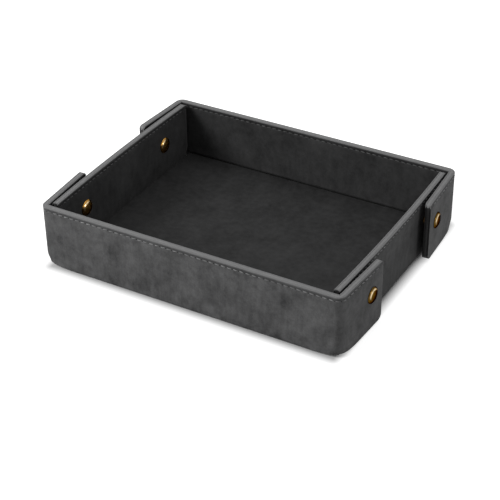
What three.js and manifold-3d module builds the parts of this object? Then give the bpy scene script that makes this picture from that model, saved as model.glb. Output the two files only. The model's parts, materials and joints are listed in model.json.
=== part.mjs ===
// A fold-flat leather tray. Stiff boards are glued between an outer leather and a lining, and the
// panels fold at leather creases. The two long walls end in tabs that wrap round the corners outside
// the end walls, and a brass snap through each tab holds the tray up.
// Millimetres, +Z up. The origin is on the underside at the middle of the tray, +X towards the right
// end wall, and the front long wall faces -Y.

import * as THREE from 'three';
import { mergeVertices } from 'three/addons/utils/BufferGeometryUtils.js';
import Module from 'manifold-3d';

const wasm = await Module();
wasm.setup();

// Driving dimensions of the tray
const BODY_LENGTH = 240; // over the outer faces of the two end walls
const BODY_WIDTH = 198; // over the outer faces of the two long walls
const RIM_HEIGHT = 52; // underside to rim

// Driving dimensions of a panel: outer leather, board and lining, with glue between them
const COVER_THICKNESS = 1.2;
const BOARD_THICKNESS = 2.2;
const LINING_THICKNESS = 1.2;
const GLUE_GAP = 0.1;

// Driving dimensions of the folds
const FOLD_RADIUS = 2.5; // outside of the bottom creases
const FOLD_GAP = 0.3; // between neighbouring panels at a fold
const CORNER_RADIUS = 6; // outside of the bends between a long wall and its tabs
const END_GAP = 3; // end wall to the inside of a long wall

// Driving dimensions of the tabs and of the rounded panel corners
const TAB_LENGTH = 58; // from the long wall's outer face to the tab's free edge
const TAB_CLEARANCE = 1.2; // end wall to tab where the tab leaves the corner
const TAB_LIFT = 0.5; // underside of the tab above the floor
const TAB_TOP_RADIUS = 3;
const TAB_FOOT_RADIUS = 5;
const END_TOP_RADIUS = 2.5;
const END_FOOT_RADIUS = 10;

// Driving dimensions of the snaps
const SNAP_INSET = 15; // from the tab's free edge to the snap's middle
const SNAP_DROP = 21.5; // from the rim to the snap's middle
const CAP_DIAMETER = 13;
const CAP_HEIGHT = 2.2;
const POST_DIAMETER = 13.2;
const POST_HEIGHT = 2.6;
const HEAD_RIM = 0.5; // straight edge under the dome of a cap or a post
const SOCKET_DIAMETER = 10;
const SOCKET_HEIGHT = 2;
const SOCKET_MOUTH_DIAMETER = 6;
const SOCKET_FLOOR = 1;
const SOCKET_CHAMFER = 0.5;
const STUD_DIAMETER = 9.6;
const STUD_FLANGE = 0.6;
const STUD_HEIGHT = 1.4;
const STUD_TIP_DIAMETER = 5.4;
const STEM_DIAMETER = 3.2;
const STEM_CLEARANCE = 0.25; // round a stem, in the leather, in the board and in the snap's rings
const SNAP_CLEARANCE = 0.35; // stud to socket at rest
const SEAT_GAP = 0.15; // under a snap's flange

// How finely the round forms are faceted
const BEND_STEPS = 5;
const FOLD_STEPS = 4;
const CORNER_STEPS = 5;
const RING_SIDES = 20;
const DOME_STEPS = 4;

const MERGE_DISTANCE = 1e-5; // corners closer than this are one point

// Worked out from the driving dimensions
const PANEL = COVER_THICKNESS + BOARD_THICKNESS + LINING_THICKNESS + 2 * GLUE_GAP;
const HALF_LENGTH = BODY_LENGTH / 2;
const HALF_WIDTH = BODY_WIDTH / 2;
const END_INNER = HALF_LENGTH - PANEL; // inner face of an end wall
const END_SPAN = HALF_WIDTH - PANEL - END_GAP; // half the length of an end wall
const TAB_INNER = HALF_LENGTH + TAB_CLEARANCE; // inner face of a tab before it is flared
const TAB_OUTER = TAB_INNER + PANEL;
const BEND_X = TAB_OUTER - CORNER_RADIUS; // middle of a corner bend, right and left
const BEND_Y = HALF_WIDTH - CORNER_RADIUS; // middle of a corner bend, front and back
const BASE_END = END_INNER - FOLD_GAP; // the base stops short of the end walls
const SNAP_Z = RIM_HEIGHT - SNAP_DROP;
const SNAP_Y = HALF_WIDTH - TAB_LENGTH + SNAP_INSET;
const STEM_HOLE = STEM_DIAMETER / 2 + STEM_CLEARANCE;
const QUARTER = Math.PI / 2;
const MITRE = Math.PI / 4;

// Each layer of a panel, by its depth below the panel's outer face
const LAYERS = {
  cover: { outer: 0, inner: COVER_THICKNESS },
  board: { outer: COVER_THICKNESS + GLUE_GAP, inner: PANEL - LINING_THICKNESS - GLUE_GAP },
  lining: { outer: PANEL - LINING_THICKNESS, inner: PANEL },
};

// Hinge line of a corner bend: the middle of the bend's outer arc
const HINGE_X = BEND_X + CORNER_RADIUS * Math.cos(MITRE);
const HINGE_Y = BEND_Y + CORNER_RADIUS * Math.sin(MITRE);

// The snap spreads the tab: its stack sets how far the tab is flared about the hinge line
const SNAP_STACK = STUD_HEIGHT + SNAP_CLEARANCE + SOCKET_HEIGHT;
const SNAP_OUT = HALF_LENGTH + SNAP_STACK - HINGE_X;
const SNAP_ALONG = HINGE_Y - SNAP_Y;
const TAB_INNER_OUT = TAB_INNER - HINGE_X;
const SNAP_REACH = Math.sqrt(SNAP_OUT ** 2 + SNAP_ALONG ** 2 - TAB_INNER_OUT ** 2);
const TAB_FLARE = Math.atan2(SNAP_OUT, SNAP_ALONG) - Math.atan2(TAB_INNER_OUT, SNAP_REACH);

// Finishes
const FINISHES = {
  cover: new THREE.MeshStandardMaterial({ color: 0x4a4a4b, roughness: 0.82, metalness: 0 }),
  board: new THREE.MeshStandardMaterial({ color: 0x6e6e6e, roughness: 0.9, metalness: 0 }),
  lining: new THREE.MeshStandardMaterial({ color: 0x343435, roughness: 0.85, metalness: 0 }),
  brass: new THREE.MeshStandardMaterial({ color: 0x8a6a34, roughness: 0.35, metalness: 1 }),
};

// Boolean cuts and joins on closed geometries

function toSolid(geometry) {
  const bare = geometry.clone();
  bare.deleteAttribute('normal');
  bare.deleteAttribute('uv');
  const merged = mergeVertices(bare, MERGE_DISTANCE);
  const vertProperties = new Float32Array(merged.attributes.position.array);
  const triVerts = new Uint32Array(merged.index.array);
  return new wasm.Manifold(new wasm.Mesh({ numProp: 3, vertProperties, triVerts }));
}

function toGeometry(solid) {
  const mesh = solid.getMesh();
  const geometry = new THREE.BufferGeometry();
  geometry.setAttribute('position', new THREE.BufferAttribute(new Float32Array(mesh.vertProperties), 3));
  geometry.setIndex(new THREE.BufferAttribute(new Uint32Array(mesh.triVerts), 1));
  geometry.computeVertexNormals();
  return geometry;
}

const join = (a, b) => toGeometry(toSolid(a).add(toSolid(b)));
const cut = (a, b) => toGeometry(toSolid(a).subtract(toSolid(b)));
const overlap = (a, b) => toGeometry(toSolid(a).intersect(toSolid(b)));

// Outlines pushed along one of the three axes, from one coordinate to another

const TO_YZ = new THREE.Matrix4().set(0, 0, 1, 0, 1, 0, 0, 0, 0, 1, 0, 0, 0, 0, 0, 1);

function pushUp(outline, from, to) {
  const options = { depth: to - from, bevelEnabled: false };
  return new THREE.ExtrudeGeometry(new THREE.Shape(outline), options).translate(0, 0, from);
}

const pushAlongX = (outlineYZ, from, to) => pushUp(outlineYZ, from, to).applyMatrix4(TO_YZ);
const pushAlongY = (outlineXZ, from, to) => pushUp(outlineXZ, -to, -from).rotateX(QUARTER);

function block(low, high) {
  const size = new THREE.Vector3().subVectors(high, low);
  const middle = new THREE.Vector3().addVectors(low, high).multiplyScalar(0.5);
  return new THREE.BoxGeometry(size.x, size.y, size.z).translate(middle.x, middle.y, middle.z);
}

// Points of an arc about (cx, cy), from one angle to another
function arc(cx, cy, radius, from, to, steps) {
  return Array.from({ length: steps + 1 }, (_, i) => {
    const angle = from + ((to - from) * i) / steps;
    return new THREE.Vector2(cx + radius * Math.cos(angle), cy + radius * Math.sin(angle));
  });
}

const at = (x, y) => new THREE.Vector2(x, y);

// The angle by which a bend stops short of its hinge line, so that two halves keep FOLD_GAP
const shortOf = (radius) => Math.asin(FOLD_GAP / 2 / radius);

// Base

const FOLD_Y = HALF_WIDTH - FOLD_RADIUS; // middle of a bottom crease, front and back
const FOLD_Z = FOLD_RADIUS;

// The base cover turns up by half of the crease along the front and back edges
function baseCover() {
  const outer = FOLD_RADIUS;
  const inner = FOLD_RADIUS - COVER_THICKNESS;
  const outerTurn = MITRE - shortOf(outer);
  const innerTurn = MITRE - shortOf(inner);
  const outline = [
    ...arc(FOLD_Y, FOLD_Z, outer, -QUARTER, -QUARTER + outerTurn, FOLD_STEPS),
    ...arc(FOLD_Y, FOLD_Z, inner, -QUARTER + innerTurn, -QUARTER, FOLD_STEPS),
    ...arc(-FOLD_Y, FOLD_Z, inner, -QUARTER, -QUARTER - innerTurn, FOLD_STEPS),
    ...arc(-FOLD_Y, FOLD_Z, outer, -QUARTER - outerTurn, -QUARTER, FOLD_STEPS),
  ];
  return pushAlongX(outline, -BASE_END, BASE_END);
}

// The other layers step back from the mitre between the base and a long wall
function baseLayer({ outer, inner }) {
  const reach = HALF_WIDTH - inner - FOLD_GAP;
  return block(new THREE.Vector3(-BASE_END, -reach, outer), new THREE.Vector3(BASE_END, reach, inner));
}

// Long walls, drawn at the front

// Plan of one layer: the flat wall with half of a corner bend at each end
function longWallPlan({ outer, inner }) {
  const outerRadius = CORNER_RADIUS - outer;
  const innerRadius = CORNER_RADIUS - inner;
  const outerTurn = MITRE - shortOf(outerRadius);
  const innerTurn = MITRE - shortOf(innerRadius);
  return [
    ...arc(BEND_X, -BEND_Y, outerRadius, -QUARTER, -QUARTER + outerTurn, BEND_STEPS),
    ...arc(BEND_X, -BEND_Y, innerRadius, -QUARTER + innerTurn, -QUARTER, BEND_STEPS),
    ...arc(-BEND_X, -BEND_Y, innerRadius, -QUARTER, -QUARTER - innerTurn, BEND_STEPS),
    ...arc(-BEND_X, -BEND_Y, outerRadius, -QUARTER - outerTurn, -QUARTER, BEND_STEPS),
  ];
}

// One layer stands from its foot to the rim; over the base its foot is above the base's own layers
function longWallLayer(layer) {
  const whole = pushUp(longWallPlan(layer), TAB_LIFT, RIM_HEIGHT);
  const foot = layer === LAYERS.cover ? FOLD_Z : layer.inner + FOLD_GAP;
  const low = new THREE.Vector3(-END_INNER, -HALF_WIDTH - PANEL, -PANEL);
  const high = new THREE.Vector3(END_INNER, -HALF_WIDTH + 2 * PANEL, foot);
  return cut(whole, block(low, high));
}

// The wall cover turns under by its half of the bottom crease
function longWallCover() {
  const outer = FOLD_RADIUS;
  const inner = FOLD_RADIUS - COVER_THICKNESS;
  const rise = FOLD_Z + PANEL;
  const outline = [
    at(-HALF_WIDTH, rise),
    ...arc(-FOLD_Y, FOLD_Z, outer, Math.PI, Math.PI + MITRE - shortOf(outer), FOLD_STEPS),
    ...arc(-FOLD_Y, FOLD_Z, inner, Math.PI + MITRE - shortOf(inner), Math.PI, FOLD_STEPS),
    at(-HALF_WIDTH + COVER_THICKNESS, rise),
  ];
  return join(longWallLayer(LAYERS.cover), pushAlongX(outline, -BASE_END, BASE_END));
}

// Tabs, drawn at the front about their hinge line, right or left

const TAB_FREE_EDGE = HINGE_Y - HALF_WIDTH + TAB_LENGTH; // along Y from the hinge line

// Plan of one layer: half of the corner bend, then the flat tab
function tabPlan({ outer, inner }, side) {
  const outerRadius = CORNER_RADIUS - outer;
  const innerRadius = CORNER_RADIUS - inner;
  const bendX = BEND_X - HINGE_X;
  const bendY = HINGE_Y - BEND_Y;
  const right = [
    at(bendX + innerRadius, TAB_FREE_EDGE),
    ...arc(bendX, bendY, innerRadius, 0, -MITRE + shortOf(innerRadius), BEND_STEPS),
    ...arc(bendX, bendY, outerRadius, -MITRE + shortOf(outerRadius), 0, BEND_STEPS),
    at(bendX + outerRadius, TAB_FREE_EDGE),
  ];
  return right.map(({ x, y }) => at(side * x, y));
}

// Side view of a tab, with its two free corners rounded
function tabOutline() {
  const foot = TAB_LIFT + TAB_FOOT_RADIUS;
  const top = RIM_HEIGHT - TAB_TOP_RADIUS;
  const outline = [
    at(-CORNER_RADIUS, TAB_LIFT),
    ...arc(TAB_FREE_EDGE - TAB_FOOT_RADIUS, foot, TAB_FOOT_RADIUS, -QUARTER, 0, CORNER_STEPS),
    ...arc(TAB_FREE_EDGE - TAB_TOP_RADIUS, top, TAB_TOP_RADIUS, 0, QUARTER, CORNER_STEPS),
    at(-CORNER_RADIUS, RIM_HEIGHT),
  ];
  return pushAlongX(outline, -CORNER_RADIUS, CORNER_RADIUS);
}

// A round hole along X for a snap's stem
function stemHole(y) {
  const drill = new THREE.CylinderGeometry(STEM_HOLE, STEM_HOLE, 2 * BODY_LENGTH, RING_SIDES);
  return drill.rotateZ(QUARTER).translate(0, y, SNAP_Z);
}

function tabLayer(layer, side) {
  const whole = pushUp(tabPlan(layer, side), TAB_LIFT, RIM_HEIGHT);
  return cut(overlap(whole, tabOutline()), stemHole(SNAP_REACH));
}

// End walls, drawn at the right

// Side view of an end wall, with its four corners rounded
function endWallOutline() {
  const foot = END_SPAN - END_FOOT_RADIUS;
  const head = END_SPAN - END_TOP_RADIUS;
  const top = RIM_HEIGHT - END_TOP_RADIUS;
  const outline = [
    ...arc(-foot, END_FOOT_RADIUS, END_FOOT_RADIUS, -2 * QUARTER, -QUARTER, CORNER_STEPS),
    ...arc(foot, END_FOOT_RADIUS, END_FOOT_RADIUS, -QUARTER, 0, CORNER_STEPS),
    ...arc(head, top, END_TOP_RADIUS, 0, QUARTER, CORNER_STEPS),
    ...arc(-head, top, END_TOP_RADIUS, QUARTER, 2 * QUARTER, CORNER_STEPS),
  ];
  return pushAlongX(outline, END_INNER - PANEL, HALF_LENGTH + PANEL);
}

// The cover comes down the outside, turns under and stops beside the base's edge
function endWallCover() {
  const foldX = HALF_LENGTH - FOLD_RADIUS;
  const outline = [
    at(END_INNER, 0),
    ...arc(foldX, FOLD_Z, FOLD_RADIUS, -QUARTER, 0, FOLD_STEPS),
    at(HALF_LENGTH, RIM_HEIGHT),
    at(HALF_LENGTH - COVER_THICKNESS, RIM_HEIGHT),
    ...arc(foldX, FOLD_Z, FOLD_RADIUS - COVER_THICKNESS, 0, -QUARTER, FOLD_STEPS),
    at(END_INNER, COVER_THICKNESS),
  ];
  return pushAlongY(outline, -END_SPAN, END_SPAN);
}

// The board and the lining stand on the crease
function endWallSheet({ outer, inner }) {
  const low = new THREE.Vector3(HALF_LENGTH - inner, -END_SPAN, FOLD_Z);
  const high = new THREE.Vector3(HALF_LENGTH - outer, END_SPAN, RIM_HEIGHT);
  return block(low, high);
}

function endWallLayer(layer) {
  const sheet = layer === LAYERS.cover ? endWallCover() : endWallSheet(layer);
  const trimmed = overlap(sheet, endWallOutline());
  return cut(cut(trimmed, stemHole(SNAP_Y)), stemHole(-SNAP_Y));
}

// Snaps, turned about their own axis with +Y outward from the face that they sit on

// Points of a domed head from its edge to its crown, above a short straight rim
function domePoints(radius, height) {
  return Array.from({ length: DOME_STEPS + 1 }, (_, i) => {
    const angle = (QUARTER * i) / DOME_STEPS;
    const r = i === DOME_STEPS ? 0 : radius * Math.cos(angle);
    return new THREE.Vector2(r, SEAT_GAP + HEAD_RIM + (height - HEAD_RIM) * Math.sin(angle));
  });
}

// A domed head on a stem that reaches back through the panel
function headedStem(diameter, height, reach) {
  const stem = STEM_DIAMETER / 2;
  const points = [
    new THREE.Vector2(0, -reach),
    new THREE.Vector2(stem, -reach),
    new THREE.Vector2(stem, SEAT_GAP),
    new THREE.Vector2(diameter / 2, SEAT_GAP),
    ...domePoints(diameter / 2, height),
  ];
  return new THREE.LatheGeometry(points, RING_SIDES);
}

const ringOf = (pairs) => {
  const points = pairs.map(([r, y]) => new THREE.Vector2(r, y));
  return new THREE.LatheGeometry([...points, points[0].clone()], RING_SIDES);
};

const capGeometry = () => headedStem(CAP_DIAMETER, CAP_HEIGHT, PANEL + SOCKET_FLOOR);
const postGeometry = () => headedStem(POST_DIAMETER, POST_HEIGHT, PANEL + STUD_FLANGE);

// The socket: a shallow cup with its mouth away from the tab
const socketGeometry = () =>
  ringOf([
    [STEM_HOLE, SEAT_GAP],
    [SOCKET_DIAMETER / 2, SEAT_GAP],
    [SOCKET_DIAMETER / 2, SOCKET_FLOOR],
    [SOCKET_DIAMETER / 2 - SOCKET_CHAMFER, SOCKET_HEIGHT],
    [SOCKET_MOUTH_DIAMETER / 2, SOCKET_HEIGHT],
    [SOCKET_MOUTH_DIAMETER / 2, SOCKET_FLOOR],
    [STEM_HOLE, SOCKET_FLOOR],
  ]);

// The stud: a flange with a raised tip that faces the socket
const studGeometry = () =>
  ringOf([
    [STEM_HOLE, SEAT_GAP],
    [STUD_DIAMETER / 2, SEAT_GAP],
    [STUD_DIAMETER / 2, STUD_FLANGE],
    [STUD_TIP_DIAMETER / 2, STUD_FLANGE],
    [STUD_TIP_DIAMETER / 2, STUD_HEIGHT],
    [STEM_HOLE, STUD_HEIGHT],
  ]);

// Assembly

function named(name, geometry, finish) {
  const mesh = new THREE.Mesh(geometry, FINISHES[finish]);
  mesh.name = name;
  return mesh;
}

// A snap piece on a face at x, with its axis along +X or -X
function onFace(name, geometry, x, y, outward) {
  const mesh = named(name, geometry, 'brass');
  mesh.position.set(x, y, SNAP_Z);
  mesh.rotation.z = -outward * QUARTER;
  return mesh;
}

function makeBase() {
  const group = new THREE.Group();
  group.add(named('base_cover', baseCover(), 'cover'));
  group.add(named('base_board', baseLayer(LAYERS.board), 'board'));
  group.add(named('base_lining', baseLayer(LAYERS.lining), 'lining'));
  return group;
}

function makeTab(name, side) {
  const group = new THREE.Group();
  for (const [part, layer] of Object.entries(LAYERS)) {
    group.add(named(`${name}_${part}`, tabLayer(layer, side), part));
  }
  const innerX = side * TAB_INNER_OUT;
  const outerX = side * (TAB_INNER_OUT + PANEL);
  group.add(onFace(`${name}_snap_cap`, capGeometry(), outerX, SNAP_REACH, side));
  group.add(onFace(`${name}_snap_socket`, socketGeometry(), innerX, SNAP_REACH, -side));
  group.position.set(side * HINGE_X, -HINGE_Y, 0);
  group.rotation.z = -side * TAB_FLARE;
  return group;
}

// A long wall with its two tabs, turned half round for the back
function makeLongWall(name, turned) {
  const group = new THREE.Group();
  const right = turned ? 'left' : 'right';
  const left = turned ? 'right' : 'left';
  group.add(named(`${name}_wall_cover`, longWallCover(), 'cover'));
  group.add(named(`${name}_wall_board`, longWallLayer(LAYERS.board), 'board'));
  group.add(named(`${name}_wall_lining`, longWallLayer(LAYERS.lining), 'lining'));
  group.add(makeTab(`${name}_${right}_tab`, 1));
  group.add(makeTab(`${name}_${left}_tab`, -1));
  group.rotation.z = turned ? Math.PI : 0;
  return group;
}

// An end wall with its two studs and posts, turned half round for the left
function makeEndWall(name, turned) {
  const group = new THREE.Group();
  for (const [part, layer] of Object.entries(LAYERS)) {
    group.add(named(`${name}_end_wall_${part}`, endWallLayer(layer), part));
  }
  for (const y of [-SNAP_Y, SNAP_Y]) {
    const place = y < 0 !== turned ? 'front' : 'back';
    group.add(onFace(`${place}_${name}_snap_stud`, studGeometry(), HALF_LENGTH, y, 1));
    group.add(onFace(`${place}_${name}_snap_post`, postGeometry(), END_INNER, y, -1));
  }
  group.rotation.z = turned ? Math.PI : 0;
  return group;
}

const tray = new THREE.Group();
tray.add(makeBase());
tray.add(makeLongWall('front', false));
tray.add(makeLongWall('back', true));
tray.add(makeEndWall('right', false));
tray.add(makeEndWall('left', true));

export default tray;
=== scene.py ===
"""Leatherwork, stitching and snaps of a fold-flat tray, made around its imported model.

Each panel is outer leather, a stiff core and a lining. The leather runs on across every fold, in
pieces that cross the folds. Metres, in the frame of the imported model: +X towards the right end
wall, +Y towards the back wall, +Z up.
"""

import json
import math
from collections import namedtuple

import bmesh
import bpy
import numpy as np
from bpy.props import FloatProperty, FloatVectorProperty, PointerProperty
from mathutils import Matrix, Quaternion, Vector


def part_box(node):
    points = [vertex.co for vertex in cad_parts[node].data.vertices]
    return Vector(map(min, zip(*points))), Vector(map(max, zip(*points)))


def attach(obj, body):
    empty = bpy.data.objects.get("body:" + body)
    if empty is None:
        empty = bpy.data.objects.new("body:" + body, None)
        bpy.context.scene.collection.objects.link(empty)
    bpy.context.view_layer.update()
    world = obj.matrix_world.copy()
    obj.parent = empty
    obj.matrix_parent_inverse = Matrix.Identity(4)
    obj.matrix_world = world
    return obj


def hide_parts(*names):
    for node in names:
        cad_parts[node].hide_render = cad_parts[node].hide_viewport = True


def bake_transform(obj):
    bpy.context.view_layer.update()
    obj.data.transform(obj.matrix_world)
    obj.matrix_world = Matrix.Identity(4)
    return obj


bl_info = {
    "name": "Leather Tray",
    "version": (1, 0, 0),
    "blender": (4, 5, 0),
    "location": "View3D > Sidebar > Tray",
    "description": "Leather panels, creases, stitching and snaps of a fold-flat tray",
    "category": "Add Mesh",
}

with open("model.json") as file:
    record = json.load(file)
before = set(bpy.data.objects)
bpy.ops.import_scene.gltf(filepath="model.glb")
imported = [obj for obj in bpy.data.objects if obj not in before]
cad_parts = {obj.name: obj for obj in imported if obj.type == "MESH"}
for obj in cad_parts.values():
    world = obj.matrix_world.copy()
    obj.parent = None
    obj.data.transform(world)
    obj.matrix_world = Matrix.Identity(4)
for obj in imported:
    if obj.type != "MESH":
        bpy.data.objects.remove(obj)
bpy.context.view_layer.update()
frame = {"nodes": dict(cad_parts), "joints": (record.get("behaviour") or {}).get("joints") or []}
JOINTS = {joint["name"]: joint for joint in frame["joints"]}

MM = 0.001
FULL_TURN = 2 * math.pi
QUARTER = math.pi / 2
MITRE = math.pi / 4
SIDES = {"front": -1, "back": 1, "left": -1, "right": 1}
Corner = namedtuple("Corner", "name wall tab end_wall flip_x flip_y")
CORNERS = [
    Corner(f"{side}_{end}", f"{side}_wall", f"{side}_{end}_tab", f"{end}_end_wall",
           SIDES[end], SIDES[side])
    for side in ("front", "back") for end in ("left", "right")]

# Sizes that the frame gives
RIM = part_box("front_wall_cover")[1].z
HALF_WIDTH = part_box("back_wall_cover")[1].y
HALF_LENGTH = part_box("right_end_wall_cover")[1].x
END_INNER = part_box("right_end_wall_lining")[0].x
END_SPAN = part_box("right_end_wall_cover")[1].y
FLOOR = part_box("base_lining")[1].z
BASE_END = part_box("base_lining")[1].x
PANEL = HALF_LENGTH - END_INNER
BOARD_FACE = HALF_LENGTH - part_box("right_end_wall_board")[1].x
BOARD_BACK = HALF_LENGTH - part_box("right_end_wall_board")[0].x
LINING_BACK = HALF_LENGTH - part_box("right_end_wall_lining")[1].x
GLUE = LINING_BACK - BOARD_BACK

# Folds: where the joints turn, and the radii that put them there
TAB_HINGE = np.array(JOINTS["back_right_tab_swing"]["pos_m"][:2])
TAB_FLARE = QUARTER - math.radians(JOINTS["back_right_tab_swing"]["range_deg"][1])
WALL_HINGE_HEIGHT = JOINTS["back_wall_fold"]["pos_m"][2]
CORNER_RADIUS = (HALF_WIDTH - TAB_HINGE[1]) / (1 - math.cos(MITRE))
FOLD_RADIUS = WALL_HINGE_HEIGHT / (1 - math.cos(MITRE))
BEND_X = TAB_HINGE[0] - CORNER_RADIUS * math.cos(MITRE)
BEND_Y = HALF_WIDTH - CORNER_RADIUS
BEND_LENGTH = CORNER_RADIUS * QUARTER
BEND_MIDDLE = BEND_X + BEND_LENGTH / 2
FOLD_LENGTH = FOLD_RADIUS * QUARTER

# Rounded corners of the panels, seen from the side
TAB_TOP_RADIUS = 3 * MM
TAB_FOOT_RADIUS = 5 * MM
END_TOP_RADIUS = 1.5 * MM
END_FOOT_RADIUS = 10 * MM
END_LEATHER_FOOT_RADIUS = 0.8 * MM
END_LEATHER_FLARE = 1.5 * MM
END_FLARE_HEIGHT = 9 * MM

# Where the leather of one fold meets the next piece
SEAM_HEIGHT = FOLD_RADIUS + 0.5 * MM
STEP_LENGTH = 0.1 * MM
TUCK_REACH = 1.7 * MM
TUCK_OVERRUN = 2.5 * MM
TUCK_OVERREACH = 2.0
TUCK_DEPTH = (FOLD_RADIUS - WALL_HINGE_HEIGHT) * 0.95
TUCK_HALF_WIDTH = 0.45
TUCK_THICKNESS = 0.35 * MM
EDGE_CURL = 6 * MM
TAB_RISE = 1.1 * MM
TAB_RUN = 48 * MM
BOW_FROM = 30 * MM

# Bottom corners: the lifted edge, the lining's share of that lift, and the sunk leather above
CORNER_LIFT = 1.9 * MM
CORNER_LIFT_REACH = 22 * MM
LINING_LIFT = 0.2
CORNER_SINK = 2.2 * MM
CORNER_SINK_REACH = 10.5 * MM
CORNER_SINK_HEIGHT = 11 * MM

# Marks of the sewing: pricked holes darkened with painted shade, the line above them darkened partly
# as a crease and partly with painted shadow under the rim, and their dark colour
HOLE_RADIUS = 0.45 * MM
HOLE_EDGE = 1.6
HOLE_SHADE_SHARE = 0.85
HOLE_DEPTH = 2.0
CREASE_DROP = 1.75 * MM
CREASE_HALF_WIDTH = 0.8 * MM
CREASE_AND_SHADOW_SHARE = 0.4
HOLE_AND_CREASE_DARK = (0.004, 0.004, 0.004)
PLY_PITCH = 0.7 * MM
PLY_SLANT = 0.9 * MM

# Tones by their share of a named colour, which paint shade on the end walls' leather, the base's
# lining and the inner thread; the nap's direction, and the brass at a grazing angle
END_PAINTED_SHADE = 0.54
FLOOR_PAINTED_SHADE = 0.6
INNER_THREAD_PAINTED_SHADE = 0.42
UPRIGHT_NAP = (1.0, 1.0, 0.12)
LEVEL_NAP = (0.12, 1.0, 1.0)
SHELTERED_TINT = (0.08, 0.06, 0.04)
HANDLED_TINT = (0.1, 0.07, 0.04)

# Wear along a rim's rounded edge; a painted highlight line short of a free edge, and painted shade
# on the free edge itself
RIM_WEAR = 0.4
FREE_LINE_HIGHLIGHT = 0.25
FREE_EDGE_PAINTED_SHADE = 1.2

# How finely the surfaces are divided
EDGE_STEPS = 4
BEND_STEPS = 18
GROOVE_ROWS = 9
LEAD_ROWS = ((3.2, 0.0), (1.8, 0.15))
WALL_STEPS = 24
TAB_STEPS = 14
CORNER_STEPS = 14
END_STEPS = 15
END_PLAIN = 0.97
TURN_ROWS = 10
TUCK_ROWS = 33
THREAD_RINGS = 5
THREAD_SIDES = 8
TURNED_SIDES = 48
STATION_DIGITS = 7
SHARP_ANGLE = math.radians(38)

# Shares of the height at which a face has rows: more of them low down, where outer leather bends
FACE_ROWS = np.linspace(0, 0.86, 5)
WRAP_ROWS = np.r_[0, np.linspace(0.02, 0.2, 10), FACE_ROWS[2:]]
END_ROWS = np.r_[0, np.linspace(0.01, 0.2, 22), FACE_ROWS[2:]]

# Each layer of a panel: its two depths below the outer face, its solid's last word and its slot
LAYERS = {
    "leather": (0.0, BOARD_FACE - GLUE / 2, "cover", "outer_leather"),
    "core": (BOARD_FACE - GLUE / 2, LINING_BACK - GLUE / 2, "board", "stiffener_board"),
    "lining": (LINING_BACK - GLUE / 2, PANEL, "lining", "lining_leather"),
}


def sized(name, description, millimetres):
    """A property that holds a length."""
    return FloatProperty(
        name=name, description=description, default=millimetres * MM, unit="LENGTH")


def coloured(name, description, rgb):
    """A property that holds a colour."""
    return FloatVectorProperty(name=name, description=description, default=rgb, subtype="COLOR")


class TraySizes(bpy.types.PropertyGroup):
    """Sizes of the leatherwork that the frame doesn't hold."""

    edge: sized("Edge", "Rounding of a rim's outer edges", 0.45)
    ply_edge: sized("Ply edge", "Rounding between the layers of a rim", 0.24)
    stitch_drop: sized("Stitch drop", "Stitch line below the rim", 3.1)
    stitch_pitch: sized("Stitch pitch", "One stitch to the next", 5.0)
    stitch_length: sized("Stitch length", "Length of thread that shows", 3.6)
    thread: sized("Thread", "Width of the thread", 0.8)
    groove: sized("Groove", "Depth to which the stitches pull the leather", 0.3)
    groove_width: sized("Groove width", "Width of the pulled line", 1.8)
    bow: sized("Bow", "How far an end wall's rim bows out", 2.0)


class TrayFinish(bpy.types.PropertyGroup):
    """Colours of the leather, the thread and the brass."""

    leather_dark: coloured("Leather, dark", "Darker clouds outside", (0.014, 0.014, 0.0143))
    leather_light: coloured("Leather, light", "Lighter clouds outside", (0.118, 0.118, 0.119))
    lining_dark: coloured("Lining, dark", "Darker clouds of the lining", (0.011, 0.011, 0.0112))
    lining_light: coloured("Lining, light", "Lighter clouds of the lining", (0.048, 0.048, 0.0485))
    edge: coloured("Edge", "Painted edges of the panels", (0.166, 0.166, 0.167))
    thread: coloured("Thread", "Sewing thread", (0.23, 0.23, 0.232))
    brass_dark: coloured("Brass, dark", "Patina of the sheltered brass", (0.36, 0.19, 0.045))
    # The light brass colours fill a band that is partly wear and partly a painted highlight
    brass_rubbed_and_highlight: coloured("Brass, light", "Rubbed parts of the sheltered brass", (0.85, 0.68, 0.42))
    # The caps' patina is darker than the same brass on the posts: patina and painted shade
    cap_patina_and_shade: coloured("Cap, dark", "Patina of the handled caps", (0.085, 0.047, 0.009))
    cap_rubbed_and_highlight: coloured("Cap, light", "Rubbed parts of the handled caps", (0.75, 0.6, 0.38))


# Shader trees


class Wire:
    """One socket of a shader tree. Sums and products of wires add their own Math nodes."""

    def __init__(self, tree, socket=None):
        self.tree, self.socket = tree, socket

    def node(self, kind, inputs=None, output=0, **settings):
        """A new node of any type, with its settings and the values or wires of its sockets."""
        made = self.tree.nodes.new(kind)
        for name, value in settings.items():
            setattr(made, name, value)
        for name, value in (inputs or {}).items():
            if isinstance(value, Wire):
                self.tree.links.new(value.socket, made.inputs[name])
            else:
                made.inputs[name].default_value = value
        return Wire(self.tree, made.outputs[output] if made.outputs else None)

    def out(self, name):
        """Another output of the same node."""
        return Wire(self.tree, self.socket.node.outputs[name])

    def math(self, operation, first, second=0.0):
        """A Math node of one or two values."""
        return self.node("ShaderNodeMath", {0: first, 1: second}, operation=operation)

    def __add__(self, other):
        return self.math("ADD", self, other)

    def __sub__(self, other):
        return self.math("SUBTRACT", self, other)

    def __rsub__(self, other):
        return self.math("SUBTRACT", other, self)

    def __mul__(self, other):
        return self.math("MULTIPLY", self, other)

    def __truediv__(self, other):
        return self.math("DIVIDE", self, other)

    __radd__ = __add__

    def held(self):
        """The value held between 0 and 1."""
        return self.node("ShaderNodeClamp", {"Value": self})


def shade(rgb, share):
    """A share of a colour: darker below 1, lighter above it."""
    return [share * channel for channel in rgb]


def colour(rgb, share=1.0):
    """A share of a colour, with full alpha."""
    return (*shade(rgb, share), 1.0)


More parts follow.
